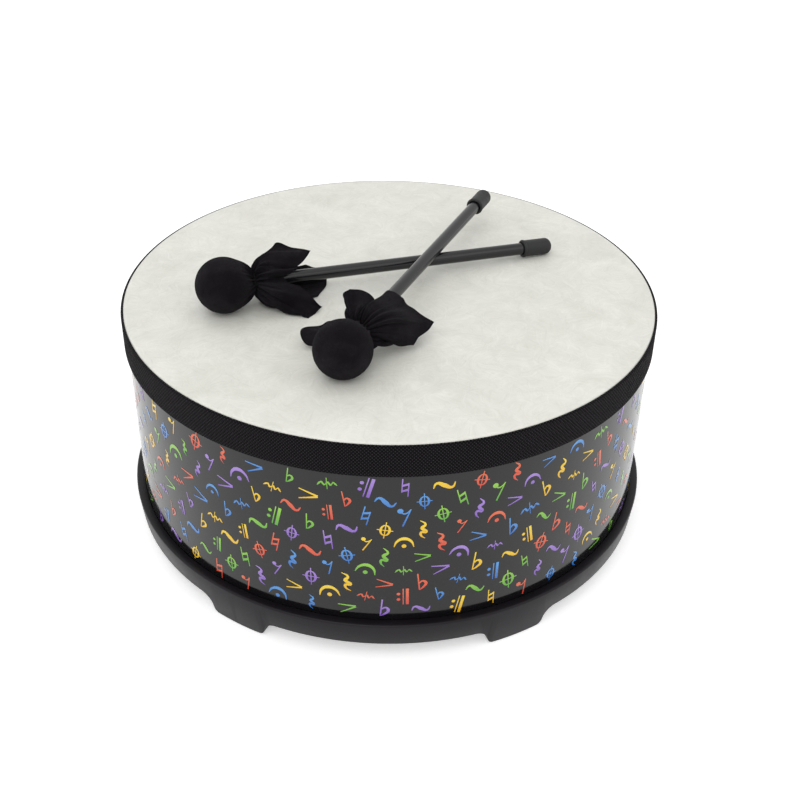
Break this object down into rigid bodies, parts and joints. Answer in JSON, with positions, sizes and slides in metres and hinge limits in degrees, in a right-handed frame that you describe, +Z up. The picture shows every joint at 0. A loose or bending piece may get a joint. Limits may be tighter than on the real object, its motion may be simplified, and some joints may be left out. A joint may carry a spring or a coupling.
{
  "type": "floor drum",
  "caption": "Low round floor drum with a fixed head on a footed base ring, and soft-headed mallets lying crossed on the head.",
  "frame": {"origin": "middle of the circle that the foot pads stand on, at floor level", "axes": "+Z up along the drum's axis; the picture's camera looks from the -Y side; one foot lies on +X"},
  "size_m": [0.4146, 0.4146, 0.2406],
  "materials": {
    "shell_board": "raw wood-fibre board",
    "wrap_print": "glossy printed laminate",
    "head_film": "satin film with fibrous mottling",
    "rim_webbing": "woven polypropylene webbing",
    "base_moulding": "satin moulded plastic",
    "pad_rubber": "matt rubber",
    "screw_steel": "zinc plated",
    "mallet_rod": "glossy pultruded rod",
    "cap_rubber": "matt rubber",
    "ball_core": "plain moulded rubber",
    "mallet_cloth": "plain woven cotton",
    "mallet_thread": "twisted waxed thread"
  },
  "bodies": {
    "drum": {"shell": "shell_board", "shell_wrap": "wrap_print", "drumhead": "head_film", "trim_band": "rim_webbing", "base_ring": "base_moulding", "foot_pad_1": "pad_rubber", "foot_pad_2": "pad_rubber", "foot_pad_3": "pad_rubber", "foot_pad_4": "pad_rubber", "foot_pad_5": "pad_rubber", "foot_pad_6": "pad_rubber", "base_screw_1": "screw_steel", "base_screw_2": "screw_steel", "base_screw_3": "screw_steel", "base_screw_4": "screw_steel", "base_screw_5": "screw_steel", "base_screw_6": "screw_steel"},
    "lower_mallet": {"lower_mallet_rod": "mallet_rod", "lower_mallet_grip_cap": "cap_rubber", "lower_mallet_ball": "ball_core", "lower_mallet_cloth": "mallet_cloth", "lower_mallet_tie": "mallet_thread"},
    "upper_mallet": {"upper_mallet_rod": "mallet_rod", "upper_mallet_grip_cap": "cap_rubber", "upper_mallet_ball": "ball_core", "upper_mallet_cloth": "mallet_cloth", "upper_mallet_tie": "mallet_thread"}
  },
  "joints": [
    {"name": "lower_mallet_lift", "type": "slide", "parent": "drum", "child": "lower_mallet", "axis": [0, 0, 1], "range_m": [0, 0.15]},
    {"name": "upper_mallet_lift", "type": "slide", "parent": "lower_mallet", "child": "upper_mallet", "axis": [0, 0, 1], "range_m": [0, 0.15]}
  ]
}
